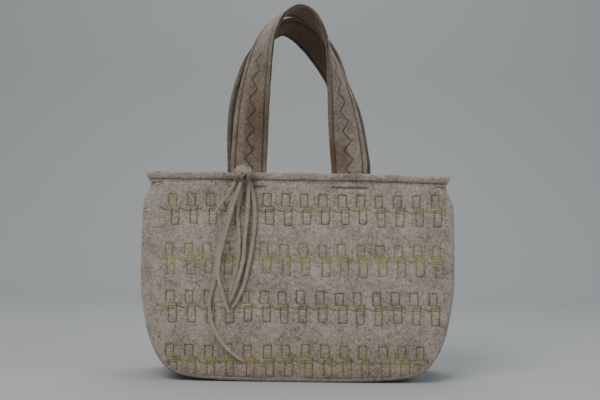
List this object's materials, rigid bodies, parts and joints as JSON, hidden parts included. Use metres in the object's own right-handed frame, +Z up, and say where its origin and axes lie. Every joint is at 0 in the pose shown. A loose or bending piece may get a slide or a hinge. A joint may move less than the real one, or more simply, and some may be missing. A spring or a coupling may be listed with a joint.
{
  "type": "knitting bag",
  "caption": "Soft felt tote with a boxed body, open mouth, pair of strap handles, embroidered front and a knotted tassel; carries yarn and needles.",
  "frame": {"origin": "middle of the base, on the surface that the bag stands on", "axes": "+Z up, -Y towards the embroidered front, +X to the right seen from the front"},
  "size_m": [0.397, 0.1206, 0.4704],
  "materials": {
    "body_felt": "heathered oatmeal wool felt, matte",
    "strap_felt": "heathered oatmeal wool felt, matte",
    "felt_thong": "narrow cut felt thong, matte",
    "embroidery_thread": "shaded olive and yellow-green thread, slight sheen",
    "sewing_thread": "taupe sewing thread"
  },
  "bodies": {
    "bag": {"back_anchor_stitching": "sewing_thread", "back_band": "body_felt", "back_band_stitching": "sewing_thread", "back_panel": "body_felt", "embroidery_row_1": "embroidery_thread", "embroidery_row_2": "embroidery_thread", "embroidery_row_3": "embroidery_thread", "embroidery_row_4": "embroidery_thread", "front_anchor_stitching": "sewing_thread", "front_band": "body_felt", "front_band_stitching": "sewing_thread", "front_left_tab": "strap_felt", "front_panel": "body_felt", "front_right_tab": "strap_felt", "gusset": "body_felt", "left_gusset_hem": "body_felt", "rear_left_tab": "strap_felt", "rear_right_tab": "strap_felt", "right_gusset_hem": "body_felt"},
    "front_handle": {"front_handle_face": "strap_felt", "front_handle_backing": "strap_felt"},
    "rear_handle": {"rear_handle_face": "strap_felt", "rear_handle_backing": "strap_felt"},
    "tassel_tie": {"tassel_tie": "felt_thong"},
    "tassel": {"tassel_knot": "felt_thong", "tassel_tail_1": "felt_thong", "tassel_tail_2": "felt_thong", "tassel_tail_3": "felt_thong", "tassel_tail_4": "felt_thong", "tassel_tail_5": "felt_thong", "tassel_tail_6": "felt_thong"}
  },
  "joints": [
    {"name": "front_handle_swing", "type": "hinge", "parent": "bag", "child": "front_handle", "pos_m": [0, -0.02019, 0.26939], "axis": [1, 0, 0], "range_deg": [0, 80]},
    {"name": "rear_handle_swing", "type": "hinge", "parent": "bag", "child": "rear_handle", "pos_m": [0, 0.02019, 0.26939], "axis": [-1, 0, 0], "range_deg": [0, 120]},
    {"name": "tassel_sway", "type": "hinge", "parent": "bag", "child": "tassel_tie", "pos_m": [-0.07, -0.0413, 0.25609], "axis": [0, -0.9937, 0.1117], "range_deg": [-35, 35]},
    {"name": "tassel_lift", "type": "hinge", "parent": "tassel_tie", "child": "tassel", "pos_m": [-0.07, -0.0413, 0.25609], "axis": [-1, 0, 0], "range_deg": [0, 70]}
  ]
}
